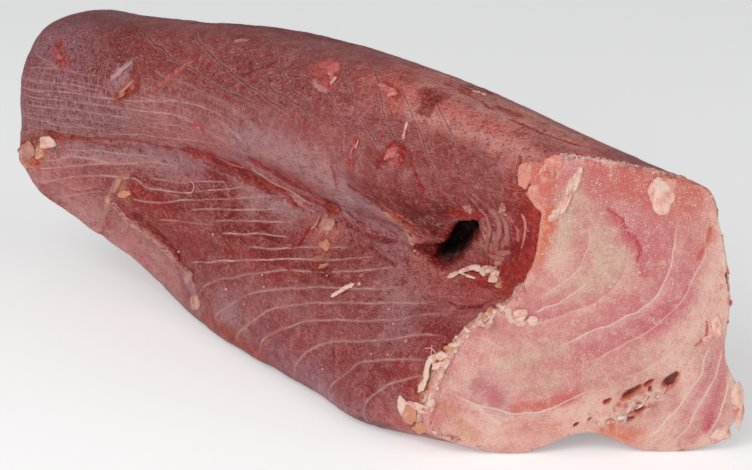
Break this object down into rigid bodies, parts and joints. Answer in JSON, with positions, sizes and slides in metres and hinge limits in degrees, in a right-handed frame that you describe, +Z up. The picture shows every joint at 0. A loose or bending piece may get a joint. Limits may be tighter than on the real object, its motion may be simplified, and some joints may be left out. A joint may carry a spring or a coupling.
{
  "type": "frozen tuna loin",
  "caption": "Frozen tuna loin, a long block of dark pink fish with a lengthwise groove, a small hollow and a pale slanted sawn face.",
  "frame": {"origin": "middle of the bounding box, at the height of the flat sole", "axes": "+X along the loin towards its sawn face, +Y towards the rounded skin side, +Z up from the sole"},
  "size_m": [0.4474, 0.137, 0.176],
  "materials": {
    "flesh": "raw frozen flesh, mauve-red on the sides and pale pink on the sawn face, satin with a thin bloom of frost"
  },
  "bodies": {
    "root": {"loin": "flesh"}
  },
  "joints": []
}
